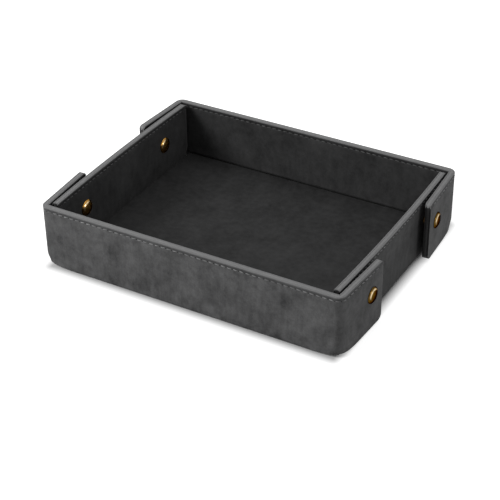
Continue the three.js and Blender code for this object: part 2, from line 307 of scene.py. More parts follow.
def new_tree(name):
    """The empty tree of a new material: a wire to start from, and the coordinates on its object."""
    material = bpy.data.materials.new(name)
    material.use_nodes = True
    material.node_tree.nodes.clear()
    tree = Wire(material.node_tree)
    return tree, tree.node("ShaderNodeTexCoord", output="Object")


def noise(tree, place, scale, detail=4.0, roughness=0.65, stretch=(1.0, 1.0, 1.0), contrast=1.0):
    """Noise about one half, over stretched coordinates: 0.5 + contrast * (noise - 0.5)."""
    mapped = tree.node("ShaderNodeMapping", {"Vector": place, "Scale": stretch})
    inputs = {"Vector": mapped, "Scale": scale, "Detail": detail, "Roughness": roughness}
    made = tree.node("ShaderNodeTexNoise", inputs, noise_dimensions="3D")
    return (made - 0.5) * contrast + 0.5


def mix(tree, factor, first, second):
    """A colour between two colours."""
    inputs = {0: factor, 6: first, 7: second}
    return tree.node("ShaderNodeMix", inputs, output=2, data_type="RGBA")


def bumped(tree, height, strength, distance):
    """The surface's normal, tilted by the slope of a height."""
    inputs = {"Strength": strength, "Distance": distance, "Height": height}
    return tree.node("ShaderNodeBump", inputs)


def close_surface(tree, shader):
    """Ends a tree in its material output."""
    tree.node("ShaderNodeOutputMaterial", {"Surface": shader})


def close_principled(tree, inputs):
    """Ends a tree in a Principled surface."""
    close_surface(tree, tree.node("ShaderNodeBsdfPrincipled", inputs))


def sewing_of(tree):
    """The sewing attribute: distance along the panel, drop below the rim, and edge wear with painted
    light at free edges.
    """
    sewing = tree.node("ShaderNodeAttribute", output="Vector", attribute_name="sewing")
    parts = tree.node("ShaderNodeSeparateXYZ", {0: sewing})
    return parts, parts.out("Y"), parts.out("Z")


def leather_material(name, dark, light, edge, brushed, sizes=None):
    """Brushed leather: clouds between two tones, fine streaks along the nap and a rubbed pale edge;
    a free edge gets a painted highlight line and painted shade.

    Leather that is sewn is given the stitches' sizes. Painted shade then darkens a pricked hole at
    the ends of each stitch, and a dark line between the stitches and the rim is partly a crease and
    partly painted shadow under the rim.
    """
    tree, place = new_tree(name)
    along, drop, wear_and_painted_light = sewing_of(tree)
    clouds = noise(tree, place, scale=48, detail=5.0, roughness=0.62, contrast=3.4)
    patches = noise(tree, place, scale=190, stretch=(1.0, 1.0, 0.85), contrast=3.2)
    streaks = noise(tree, place, scale=650, stretch=brushed, contrast=2.6)
    nap = noise(tree, place, scale=850, detail=3.0, roughness=0.6, contrast=2.2)
    grain = noise(tree, place, scale=2600, detail=2.0, roughness=0.5)
    tone = clouds * 0.42 + patches * 0.28 + streaks * 0.14 + nap * 0.16
    height = grain * 0.4 + streaks * 0.25 + nap * 0.25 + patches * 0.1
    face = mix(tree, tone.held(), colour(dark), colour(light))
    # The pale edge is the rim's paint; short of a free edge the same mix paints a highlight line
    rubbed = (wear_and_painted_light * (0.55 + grain * 0.9)).held()
    base = mix(tree, rubbed, face, colour(edge))
    # Painted shade: values below 0 darken a free edge
    base = mix(tree, (0.0 - wear_and_painted_light).held(), base, colour(dark, 0.3))
    if sizes is not None:
        step = tree.math("FRACT", along / sizes.stitch_pitch + 0.5) - 0.5
        reach = step * (sizes.stitch_pitch / HOLE_RADIUS)
        rise = (drop - sizes.stitch_drop) / HOLE_RADIUS
        hole = (HOLE_EDGE - reach * reach - rise * rise).held()
        offset = (drop - CREASE_DROP) / CREASE_HALF_WIDTH
        crease_and_shadow = (1.0 - offset * offset).held()
        # Painted shade in the holes; the line below the rim is partly a crease and partly painted
        # shadow
        base = mix(tree, (hole * HOLE_SHADE_SHARE + crease_and_shadow * CREASE_AND_SHADOW_SHARE).held(), base, colour(HOLE_AND_CREASE_DARK))
        height = height - hole * HOLE_DEPTH
    close_principled(tree, {
        "Base Color": base,
        "Roughness": (0.7 + streaks * 0.1 + wear_and_painted_light * 0.05).held(),
        "Specular IOR Level": 0.2,
        "Normal": bumped(tree, height, strength=0.35, distance=0.15 * MM),
    })


def edge_material(name, finish):
    """Board edge: pale paint along the rim, mottled by the fibres under it, and dark elsewhere,
    which paints shade on the free edges.
    """
    tree, place = new_tree(name)
    wear_and_painted_light = sewing_of(tree)[2]
    fibres = noise(tree, place, scale=1500, detail=3.0, roughness=0.6, contrast=1.8)
    clouds = noise(tree, place, scale=160, detail=3.0, roughness=0.6, contrast=1.6)
    mottle = (fibres * 0.5 + clouds * 0.5).held()
    paint = mix(tree, mottle, colour(finish.edge, 0.72), colour(finish.edge, 1.25))
    close_principled(tree, {
        # Painted shade: the board's free edges take the dark colour
        "Base Color": mix(tree, (wear_and_painted_light * 2.0 - 0.8).held(), colour(finish.lining_dark), paint),
        "Roughness": (0.6 + fibres * 0.15).held(),
        "Specular IOR Level": 0.35,
        "Normal": bumped(tree, fibres, strength=0.3, distance=0.12 * MM),
    })


def thread_material(name, tone):
    """Twisted thread: slanting plies, from a sine along and across each stitch, with painted shade
    between them, faded in places.
    """
    tree, place = new_tree(name)
    along, drop, _ = sewing_of(tree)
    twist = along * (FULL_TURN / PLY_PITCH) + drop * (FULL_TURN / PLY_SLANT)
    plies = tree.math("SINE", twist) * 0.5 + 0.5
    fading = noise(tree, place, scale=150, detail=2.0, roughness=0.5, contrast=3.0)
    # Painted shade: the colour darkens between the plies
    share = (plies * 0.3 + fading * 0.7).held()
    close_principled(tree, {
        "Base Color": mix(tree, share, colour(tone, 0.3), colour(tone)),
        "Roughness": 0.6,
        "Specular IOR Level": 0.4,
        "Normal": bumped(tree, plies, strength=0.4, distance=0.08 * MM),
    })


def brass_material(name, dark, light, edge_tint):
    """Antique brass: dark patina, brighter on a band that is partly wear and partly a painted
    highlight.
    """
    tree, place = new_tree(name)
    worn_and_highlight = tree.node("ShaderNodeAttribute", output="Fac", attribute_name="rubbed")
    stains = noise(tree, place, scale=420, contrast=1.8)
    scratches = noise(
        tree, place, scale=2200, detail=2.0, roughness=0.5, stretch=(1.0, 1.0, 0.25), contrast=1.6)
    # The band is partly wear and partly a painted highlight; the stains are real
    rubbed = (worn_and_highlight * 0.9 + stains * 0.4 - 0.25).held()
    close_principled(tree, {
        "Base Color": mix(tree, rubbed, colour(dark), colour(light)),
        "Metallic": 1.0,
        "Roughness": (0.2 - worn_and_highlight * 0.05 + stains * 0.08).held(),
        "Specular Tint": colour(edge_tint),
        "Normal": bumped(tree, scratches, strength=0.15, distance=0.05 * MM),
    })


def tray_materials(scene):
    """The leather, edge, thread and brass materials, made once."""
    made = bpy.data.materials
    if "sewing_thread" in made:
        return made
    sizes, finish = scene.tray_sizes, scene.tray_finish
    outer = (finish.leather_dark, finish.leather_light)
    inner = (finish.lining_dark, finish.lining_light)
    # Painted shade: the end walls' leather is a darker copy of the outer leather
    ends = [shade(tone, END_PAINTED_SHADE) for tone in outer]
    # Painted shade: the base's lining is a darker copy of the lining
    floor = [shade(tone, FLOOR_PAINTED_SHADE) for tone in inner]
    leather_material("outer_leather_sewn", *outer, finish.edge, UPRIGHT_NAP, sizes)
    leather_material("outer_leather_plain", *outer, finish.edge, UPRIGHT_NAP)
    leather_material("end_leather_sewn", *ends, finish.edge, UPRIGHT_NAP, sizes)
    leather_material("lining_sewn", *inner, finish.edge, UPRIGHT_NAP, sizes)
    leather_material("lining_plain", *floor, finish.edge, LEVEL_NAP)
    edge_material("painted_edge", finish)
    brass_material("aged_brass", finish.brass_dark, finish.brass_rubbed_and_highlight, SHELTERED_TINT)
    # Painted shade: the caps' brass is a darker copy of the same brass
    brass_material("cap_brass", finish.cap_patina_and_shade, finish.cap_rubbed_and_highlight, HANDLED_TINT)
    thread_material("sewing_thread", finish.thread)
    # Painted shade: the inner stitches' thread is a darker copy of the sewing thread
    thread_material("lining_thread", shade(finish.thread, INNER_THREAD_PAINTED_SHADE))
    return made


# Surfaces on grids of points


def smooth(share):
    """3t^2 - 2t^3, with t held between 0 and 1."""
    share = np.clip(share, 0, 1)
    return share * share * (3 - 2 * share)


def rounded(gap, radius):
    """How far a rounded corner stands back at a gap from its edge: r - sqrt(r^2 - (r - gap)^2)."""
    inside = np.clip(radius - gap, 0, radius)
    return radius - np.sqrt(radius * radius - inside * inside)


def near_edge(end, radius, steps):
    """Stations that crowd towards an end: end - radius * (1 - sin a), over a quarter turn."""
    return end - radius * (1 - np.sin(np.linspace(0, QUARTER, steps + 1)))


def slab_rows(outer, inner, outer_edge=0.0, inner_edge=0.0, outer_groove=None, inner_groove=None,
              shares=FACE_ROWS):
    """Closed cross-section of a layer: rows of depth, share of the height, offset and wear.

    A rectangle from one depth to the other, square at its foot. Its head is rounded by a quarter
    circle where an edge radius is given. A sewn face dips by a raised cosine at its stitch line.
    The height of a row is foot + share * (rim - foot) + offset.
    """
    angle = np.linspace(0, QUARTER, EDGE_STEPS + 1)

    def rows_of(*columns):
        return np.stack(np.broadcast_arrays(*np.atleast_1d(*columns)), axis=1)

    def face(depth, edge, groove, inward):
        rows = [rows_of(depth, shares, 0, 0)]
        if groove:
            drop, pull, width = groove
            across = np.linspace(-1, 1, GROOVE_ROWS)
            dip = inward * pull * (1 + np.cos(math.pi * across)) / 2
            rows.append(rows_of(depth + dip, 1, across * width / 2 - drop, 0))
        if edge:
            reach, wear_and_painted_light = np.transpose(LEAD_ROWS)
            rows.append(rows_of(depth, 1, -reach * edge, wear_and_painted_light))
        return np.concatenate(rows)

    def head(depth, edge, inward):
        if not edge:
            return rows_of(depth, 1, 0, 0)
        wear_and_painted_light = RIM_WEAR + (1 - RIM_WEAR) * np.sin(angle)
        turned_in = depth + inward * edge * (1 - np.cos(angle))
        return rows_of(turned_in, 1, -edge * (1 - np.sin(angle)), wear_and_painted_light)

    return np.r_[
        face(outer, outer_edge, outer_groove, 1),
        head(outer, outer_edge, 1),
        head(inner, inner_edge, -1)[::-1],
        face(inner, inner_edge, inner_groove, -1)[::-1],
    ]


def wall_section(layer, sizes, free, bent_rows):
    """Section of a wall's layer, with its depths and its wear at gaps from the wall's free edge.

    Only the open faces are sewn and fully rounded. Towards the free edge the layer closes in on its
    middle by a quarter circle. A faint painted highlight line lies short of that edge, and values
    below 0 paint shade on the edge itself.
    """
    outer, inner = LAYERS[layer][:2]
    edge, ply_edge = sizes.edge, sizes.ply_edge
    groove = (sizes.stitch_drop, sizes.groove, sizes.groove_width)
    rows = slab_rows(outer, inner, *{
        "leather": (edge, ply_edge, groove, None, bent_rows),
        "core": (ply_edge, ply_edge),
        "lining": (ply_edge, edge, None, groove),
    }[layer])
    middle, half = (outer + inner) / 2, (inner - outer) / 2
    depth = middle + (rows[:, 0] - middle) * (1 - rounded(free, edge) / half)
    line = FREE_LINE_HIGHLIGHT * smooth(1 - np.abs(free - 2 * edge) / (2 * edge))
    wear_and_painted_light = np.where(rows[:, 3] > 0, rows[:, 3], line - FREE_EDGE_PAINTED_SHADE * smooth(1 - free / edge))
    return rows, depth, wear_and_painted_light


def node_points(node):
    """The points of one solid of the frame."""
    mesh = frame["nodes"][node].data
    flat = np.empty(3 * len(mesh.vertices), np.float32)
    mesh.vertices.foreach_get("co", flat)
    return flat.reshape(-1, 3).astype(float)


def linked(name, data):
    """A new object in the scene, which shows a mesh, a lamp or a camera."""
    made = bpy.data.objects.new(name, data)
    bpy.context.scene.collection.objects.link(made)
    return made


def make_piece(name, points, faces, material, attribute, values):
    """A mesh object, its faces turned outward, with a number or a vector on each point."""
    mesh = bpy.data.meshes.new(name)
    mesh.from_pydata(points, [], faces)
    shaped = bmesh.new()
    shaped.from_mesh(mesh)
    bmesh.ops.recalc_face_normals(shaped, faces=shaped.faces)
    shaped.to_mesh(mesh)
    shaped.free()
    kind, field = ("FLOAT", "value") if values.ndim == 1 else ("FLOAT_VECTOR", "vector")
    layer = mesh.attributes.new(attribute, kind, "POINT")
    layer.data.foreach_set(field, np.ascontiguousarray(values, dtype=np.float32).ravel())
    mesh.shade_smooth()
    mesh.set_sharp_from_angle(angle=SHARP_ANGLE)
    mesh.materials.append(material)
    return linked(name, mesh)


def sewn_piece(name, place, sewing, faces, material):
    """A piece of leather or thread, from its coordinates and the parts of its sewing attribute."""
    grids = np.broadcast_arrays(*place, *sewing)
    points = np.stack(grids[:3], axis=-1).reshape(-1, 3)
    values = np.stack(grids[3:], axis=-1)
    return make_piece(name, points, faces, material, "sewing", values)


def quads_between(rings):
    """Quads that join each closed ring of point numbers to the next."""
    ahead = np.roll(rings, -1, axis=1)
    return np.stack([rings[:-1], rings[1:], ahead[1:], ahead[:-1]], axis=-1).reshape(-1, 4)


def fans_to(rings, first, last):
    """Triangles from the first ring to one point and from the last ring to another."""
    ahead = np.roll(rings, -1, axis=1)
    return np.r_[
        np.stack([0 * rings[0] + first, rings[0], ahead[0]], axis=-1),
        np.stack([0 * rings[0] + last, ahead[-1], rings[-1]], axis=-1),
    ]


def loft(name, x, y, z, along, wear_and_painted_light, material):
    """A closed skin over a grid whose rows are closed rings, capped at the first and the last."""
    shape = np.broadcast(x, y, z).shape
    rings = np.arange(shape[0] * shape[1]).reshape(shape)
    faces = quads_between(rings).tolist() + [rings[0].tolist(), rings[-1, ::-1].tolist()]
    return sewn_piece(name, (x, y, z), (along, RIM - z, wear_and_painted_light), faces, material)


# Shapes of the panels, drawn at the back right


def wrap_plan(along, depth):
    """Plan of a long wall, its corner bend and its tab, at a length along the outer face.

    A straight line, a quarter turn of radius r - depth and a straight line. Towards the inner face
    the turn sharpens to a corner, where the lining creases. The flare then turns each point about
    the hinge line, by a share that rises smoothly across the bend.
    """
    turn = np.clip((along - BEND_X) / CORNER_RADIUS, 0, QUARTER)
    sharp = 1 / np.maximum(np.sin(turn), np.cos(turn)) - 1
    radius = (CORNER_RADIUS - depth) * (1 + sharp * np.clip(depth / PANEL, 0, 1))
    x = np.minimum(along, BEND_X) + radius * np.sin(turn)
    y = BEND_Y + radius * np.cos(turn) - np.maximum(along - BEND_X - BEND_LENGTH, 0)
    angle = TAB_FLARE * smooth((x - BEND_X + HALF_WIDTH - y) / (2 * CORNER_RADIUS))
    x, y = x - TAB_HINGE[0], y - TAB_HINGE[1]
    return (TAB_HINGE[0] + x * np.cos(angle) - y * np.sin(angle),
            TAB_HINGE[1] + x * np.sin(angle) + y * np.cos(angle))


def wrap_length():
    """Length of a wrap's outer face, from the middle of the wall to the tab's free edge."""
    x, y = node_points("back_right_tab_cover")[:, :2].T - TAB_HINGE[:, None]
    free_edge = TAB_HINGE[1] + (y * math.cos(TAB_FLARE) - x * math.sin(TAB_FLARE)).min()
    return BEND_X + BEND_LENGTH + BEND_Y - free_edge


WRAP_LENGTH = wrap_length()


def wrap_stations():
    """Lengths along a wrap: even on the wall, close in the bend and crowded at the free edge."""
    return np.unique(np.round(np.r_[
        np.linspace(0, BASE_END, WALL_STEPS),
        BASE_END + np.array([STEP_LENGTH, TUCK_OVERRUN, TUCK_OVERRUN + STEP_LENGTH]),
        BEND_X + BEND_LENGTH * np.linspace(0, 1, BEND_STEPS + 1),
        np.linspace(BEND_X + BEND_LENGTH, WRAP_LENGTH - TAB_FOOT_RADIUS, TAB_STEPS)[1:],
        near_edge(WRAP_LENGTH, TAB_FOOT_RADIUS, CORNER_STEPS),
    ], STATION_DIGITS))[:, None]


def corner_lift(along):
    """Rise of the bottom edge at a corner: lift * smooth(1 - distance from its middle / reach)."""
    return CORNER_LIFT * smooth(1 - np.abs(along - BEND_MIDDLE) / CORNER_LIFT_REACH)


def sunk_corner(along, x, y, z):
    """Plan of the outer leather with its bottom corner softened.

    Each point sinks inward by sink * smooth(1 - distance / reach) * smooth(1 - z / height).
    """
    turn = np.clip((along - BEND_X) / CORNER_RADIUS, 0, QUARTER)
    sink = CORNER_SINK * smooth(1 - np.abs(along - BEND_MIDDLE) / CORNER_SINK_REACH)
    sink = sink * smooth(1 - z / CORNER_SINK_HEIGHT)
    return x - sink * np.sin(turn), y - sink * np.cos(turn)


def end_half_length(z, foot_radius):
    """Half the length of an end wall at a height: its foot and its head have rounded corners."""
    return END_SPAN - rounded(z, foot_radius) - rounded(RIM - z, END_TOP_RADIUS)


def end_shares(edge):
    """Shares of an end wall's length, from -1 to 1, crowded at both ends."""
    plain = np.linspace(0, END_PLAIN, END_STEPS)
    half = np.r_[plain, near_edge(1.0, edge / END_SPAN, EDGE_STEPS)]
    return np.r_[-half[:0:-1], half][:, None]


def end_bow(y, z, bow):
    """How far an end wall bows out: bow * (1 - (y / span)^2) * rise^2.

    The rise is a share of the height, from 0 where the bow begins to 1 at the rim.
    """
    rise = np.clip((z - BOW_FROM) / (RIM - BOW_FROM), 0, 1)
    return bow * (1 - (y / END_SPAN) ** 2) * rise * rise


def fold_section(along, depth, foot):
    """Reach and height of a bottom fold: a flat foot, a quarter circle, then straight up."""
    turn = np.clip((along - foot) / FOLD_RADIUS, 0, QUARTER)
    reach = np.minimum(along, foot) + (FOLD_RADIUS - depth) * np.sin(turn)
    upright = np.maximum(along - foot - FOLD_LENGTH, 0)
    return reach, FOLD_RADIUS - (FOLD_RADIUS - depth) * np.cos(turn) + upright


def blend_round(piece):
    """Bakes a piece's placement into its mesh."""
    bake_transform(piece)


# Operators


class TRAY_OT_stage(bpy.types.Operator):
    """Sets the camera, the pale floor and the soft studio light"""

    bl_idname = "tray.stage"
    bl_label = "Stage"

    camera_place = Vector((0.4645, -0.8084, 0.6096))
    azimuth, elevation, roll = math.radians(30.015), math.radians(33.382), math.radians(0.755)
    lens, sensor = 102.97, 36.0
    # Place, width, height and power of each lamp
    lamps = {
        "key_lamp": ((-0.9, -0.9, 0.85), 0.6, 0.6, 20),
        "top_lamp": ((0.2, 0.3, 1.5), 1.1, 1.1, 7),
        "side_lamp": ((1.35, 0.0, 0.35), 0.32, 0.27, 2.6),
    }
    sky_light = 0.2
    floor_half, floor_z, floor_tone = 4.0, -0.1 * MM, 0.62
    near_reach, near_glow = 8.5 * MM, 0.78
    far_reach, far_glow = 500 * MM, 0.22

    def camera(self, scene):
        """A camera at a place, turned by azimuth and elevation and rolled about its view."""
        data = bpy.data.cameras.new("camera")
        data.lens, data.sensor_width = self.lens, self.sensor
        camera = linked("camera", data)
        level = math.cos(self.elevation)
        forward = Vector((-math.sin(self.azimuth) * level, math.cos(self.azimuth) * level,
                          -math.sin(self.elevation)))
        camera.rotation_mode = "QUATERNION"
        camera.location = self.camera_place
        rolled = Quaternion(forward, self.roll)
        camera.rotation_quaternion = rolled @ forward.to_track_quat("-Z", "Y")
        scene.camera = camera

    def softbox(self, name, place, width, height, power):
        """A rectangular lamp that faces the tray."""
        data = bpy.data.lights.new(name, "AREA")
        data.shape = "RECTANGLE"
        data.size, data.size_y, data.energy = width, height, power
        lamp = linked(name, data)
        lamp.location = place
        lamp.rotation_mode = "QUATERNION"
        lamp.rotation_quaternion = (-Vector(place)).to_track_quat("-Z", "Y")

    def seen(self, tree):
        """1 for rays that show the background itself: camera, glossy and transmission rays."""
        path = tree.node("ShaderNodeLightPath", output="Is Camera Ray")
        return (path + path.out("Is Glossy Ray") + path.out("Is Transmission Ray")).held()

    def world(self, scene):
        """A sky that is white to look at and lights the tray more dimly."""
        scene.world = bpy.data.worlds.new("studio")
        scene.world.use_nodes = True
        scene.world.node_tree.nodes.clear()
        tree = Wire(scene.world.node_tree)
        strength = self.seen(tree) * (1 - self.sky_light) + self.sky_light
        sky = {"Color": colour((1, 1, 1)), "Strength": strength}
        shine = tree.node("ShaderNodeBackground", sky)
        tree.node("ShaderNodeOutputWorld", {"Surface": shine})

    def floor(self):
        """A pale floor that keeps the shadow near the tray and glows white further off."""
        tree, place = new_tree("studio_floor")

        def vector_math(operation, inputs, output=0):
            return tree.node("ShaderNodeVectorMath", inputs, output, operation=operation)

        outside = vector_math("ABSOLUTE", {0: place})
        outside = vector_math("SUBTRACT", {0: outside, 1: (HALF_LENGTH, HALF_WIDTH, 0)})
        outside = vector_math("MAXIMUM", {0: outside, 1: (0, 0, 0)})
        away = vector_math("LENGTH", {0: outside}, output="Value")
        near, far = (away / self.near_reach).held(), (away / self.far_reach).held()
        share = (near * self.near_glow + far * self.far_glow) * self.seen(tree)
        paint = tree.node("ShaderNodeBsdfDiffuse", {"Color": colour([self.floor_tone] * 3)})
        shine = mix(tree, share, colour((0, 0, 0)), colour((1, 1, 1)))
        glow = tree.node("ShaderNodeEmission", {"Color": shine, "Strength": 1.0})
        close_surface(tree, tree.node("ShaderNodeAddShader", {0: paint, 1: glow}))
        half, z = self.floor_half, self.floor_z
        corners = [(-half, -half, z), (half, -half, z), (half, half, z), (-half, half, z)]
        mesh = bpy.data.meshes.new("studio_floor")
        mesh.from_pydata(corners, [], [(0, 1, 2, 3)])
        mesh.materials.append(bpy.data.materials["studio_floor"])
        floor = linked("studio_floor", mesh)

    def execute(self, context):
        scene = context.scene
        scene.view_settings.view_transform = "Standard"
        self.camera(scene)
        for name, lamp in self.lamps.items():
            self.softbox(name, *lamp)
        self.world(scene)
        self.floor()
        return {"FINISHED"}


class TRAY_OT_base(bpy.types.Operator):
    """Makes the base: outer leather, core and lining"""

    bl_idname = "tray.base"
    bl_label = "Base"

    # Material, half length and half width of each layer
    plans = {
        "leather": ("outer_leather_plain", BASE_END, HALF_WIDTH - FOLD_RADIUS),
        "core": ("painted_edge", BASE_END, HALF_WIDTH - LINING_BACK - 2 * GLUE),
        "lining": ("lining_plain", END_INNER - GLUE / 2, HALF_WIDTH - PANEL - TUCK_REACH),
    }

    def execute(self, context):
        materials = tray_materials(context.scene)
        for layer, (outer, inner, word, slot) in LAYERS.items():
            finish, reach_x, reach_y = self.plans[layer]
            rows = slab_rows(outer, inner)
            x = np.linspace(-reach_x, reach_x, 2 * WALL_STEPS - 1)[:, None]
            y = (2 * rows[:, 1] - 1) * reach_y
            z = rows[:, 0] + 0 * x
            if layer == "leather":
                z = z + corner_lift(np.abs(x)) * smooth(1 - (reach_y - np.abs(y)) / EDGE_CURL)
            piece = loft(f"base_{layer}_panel", x, y, z, x, rows[:, 3], materials[finish])
            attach(piece, "base")
            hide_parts(f"base_{word}")
        return {"FINISHED"}


class TRAY_OT_wraps(bpy.types.Operator):
    """Makes the long walls with their tabs: each half wall runs round its corner into its tab"""

    bl_idname = "tray.wraps"
    bl_label = "Long walls and tabs"

    finishes = {"leather": "outer_leather_sewn", "core": "painted_edge", "lining": "lining_sewn"}
    # Height of a layer's foot along the base, where that ends, and its share of the corner's lift
    feet = {
        "leather": (SEAM_HEIGHT, BASE_END, 1.0),
        "core": (BOARD_BACK + 3 * GLUE, BASE_END, 1.0),
        "lining": (FLOOR + TUCK_REACH, BASE_END + TUCK_OVERRUN, LINING_LIFT),
    }

    def foot(self, layer, along, free):
        """Height of a layer's bottom edge along a wrap.

        Level along the base. Beyond it the edge lifts round the corner and rises in a straight line
        towards the tab's rounded end. The core stays above the sunk leather of the corner.
        """
        level, level_end, lift = self.feet[layer]
        raised = TAB_RISE * (1 + np.clip(1 - free / TAB_RUN, 0, 1)) + lift * corner_lift(along)
        foot = np.where(along <= level_end, level, raised)
        if layer == "core":
            in_bend = np.abs(along - BEND_MIDDLE) < CORNER_SINK_REACH
            foot = np.where(in_bend, CORNER_SINK_HEIGHT, foot)
        return foot + rounded(free, TAB_FOOT_RADIUS)

    def execute(self, context):
        sizes, materials = context.scene.tray_sizes, tray_materials(context.scene)
        along = wrap_stations()
        free = WRAP_LENGTH - along
        rim = RIM - rounded(free, TAB_TOP_RADIUS)
        for layer, (_, _, word, slot) in LAYERS.items():
            rows, depth, wear_and_painted_light = wall_section(layer, sizes, free, WRAP_ROWS)
            foot = self.foot(layer, along, free)
            z = foot + rows[:, 1] * (rim - foot) + rows[:, 2]
            x, y = wrap_plan(along, depth)
            if layer == "leather":
                x, y = sunk_corner(along, x, y, z)
            material = materials[self.finishes[layer]]
            for corner in CORNERS:
                piece = loft(f"{corner.name}_wrap_{layer}", corner.flip_x * x, corner.flip_y * y, z,
                             along, wear_and_painted_light, material)
                blend_round(piece)
                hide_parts(f"{corner.wall}_{word}", f"{corner.tab}_{word}")
        return {"FINISHED"}


class TRAY_OT_end_walls(bpy.types.Operator):
    """Makes the end walls; their outer leather runs under the fold to the base's edge"""

    bl_idname = "tray.end_walls"
    bl_label = "End walls"

    # The end walls' leather is the darker copy, with painted shade
    finishes = {"leather": "end_leather_sewn", "core": "painted_edge", "lining": "lining_sewn"}
    leather_foot = HALF_LENGTH - FOLD_RADIUS - BASE_END
    leather_length = leather_foot + FOLD_LENGTH + RIM - FOLD_RADIUS

    def execute(self, context):
        sizes, materials = context.scene.tray_sizes, tray_materials(context.scene)
        shares = end_shares(sizes.edge)
        free = (1 - np.abs(shares)) * END_SPAN
        for layer, (_, _, word, slot) in LAYERS.items():
            rows, depth, wear_and_painted_light = wall_section(layer, sizes, free, END_ROWS)
            bent = layer == "leather"
            if bent:
                along = rows[:, 1] * self.leather_length + rows[:, 2]
                reach, z = fold_section(along, depth, self.leather_foot)
                x = BASE_END + reach
                flare = END_LEATHER_FLARE * smooth(1 - z / END_FLARE_HEIGHT)
                y = shares * (end_half_length(z, END_LEATHER_FOOT_RADIUS) + flare)
            else:
                x = HALF_LENGTH - depth
                z = FOLD_RADIUS + rows[:, 1] * (RIM - FOLD_RADIUS) + rows[:, 2]
                y = shares * end_half_length(z, END_FOOT_RADIUS)
            x = x + end_bow(y, z, sizes.bow)
            material = materials[self.finishes[layer]]
            for side in ("left", "right"):
                flip, body = SIDES[side], f"{side}_end_wall"
                piece = loft(f"{side}_end_{layer}", flip * x, y, z, y, wear_and_painted_light, material)
                if bent:
                    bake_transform(piece)
                else:
                    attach(piece, body)
                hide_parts(f"{body}_{word}")
        return {"FINISHED"}


class TRAY_OT_creases(bpy.types.Operator):
    """Makes the bottom folds of the long walls: the outer leather's turn and the lining's tuck"""

    bl_idname = "tray.creases"
    bl_label = "Bottom folds"

    def turn_rows(self, x):
        """Section of the outer turn, from the underside round to the wall and up to the seam.

        Towards the base's ends its lower part rises with the lifted corners.
        """
        top = FOLD_LENGTH + SEAM_HEIGHT - FOLD_RADIUS
        along = np.r_[np.linspace(0, FOLD_LENGTH, TURN_ROWS), top]
        depth = np.repeat(LAYERS["leather"][:2], len(along))
        reach, z = fold_section(np.r_[along, along[::-1]], depth, 0)
        lift = corner_lift(np.abs(x)) * np.clip(1 - z / SEAM_HEIGHT, 0, 1)
        return HALF_WIDTH - FOLD_RADIUS + reach, z + lift

    def tuck_rows(self, x):
        """Section of the lining's tuck: along the floor and up the wall, drawn into the fold.

        At a share u from -1 to 1 the point lies |u| * reach from the inside corner, along the floor
        or up the wall, and sinks towards the fold's axis by depth * (1 - smooth(|u| / half width)).
        Past the base's end it reaches further along the floor and closes the tray's bottom corner.
        """
        share = np.linspace(-1, 1, TUCK_ROWS)
        sink = TUCK_DEPTH * (1 - smooth(np.abs(share) / TUCK_HALF_WIDTH)) / math.sqrt(2)
        floor_reach = TUCK_REACH * np.where(np.abs(x) > BASE_END, TUCK_OVERREACH, 1.0)
        y = HALF_WIDTH - PANEL - floor_reach * np.maximum(-share, 0) + sink
        z = FLOOR + TUCK_REACH * np.maximum(share, 0) - sink
        return np.c_[y, y[:, ::-1] + TUCK_THICKNESS], np.r_[z, z[::-1] - TUCK_THICKNESS]

    def execute(self, context):
        materials = tray_materials(context.scene)
        base = np.linspace(-BASE_END, BASE_END, 2 * WALL_STEPS - 1)[:, None]
        past = BASE_END + np.array([[STEP_LENGTH], [TUCK_OVERRUN]])
        tuck = np.r_[-past[::-1], base, past]
        inside = HALF_WIDTH - PANEL
        folds = {
            "outer_turn": (base, self.turn_rows(base), "outer_leather_plain", "outer_leather",
                           (HALF_WIDTH - FOLD_RADIUS, 0), (HALF_WIDTH, FOLD_RADIUS)),
            "lining_tuck": (tuck, self.tuck_rows(tuck), "lining_plain", "lining_leather",
                            (inside - TUCK_REACH, FLOOR), (inside, FLOOR + TUCK_REACH)),
        }
        for side in ("front", "back"):
            flip = SIDES[side]
            for fold, (x, (y, z), finish, slot, start, end) in folds.items():
                piece = loft(f"{side}_{fold}", x, flip * y, z, x, 0 * z, materials[finish])
                flip * start[0]
                flip * end[0]
                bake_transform(piece)
        return {"FINISHED"}


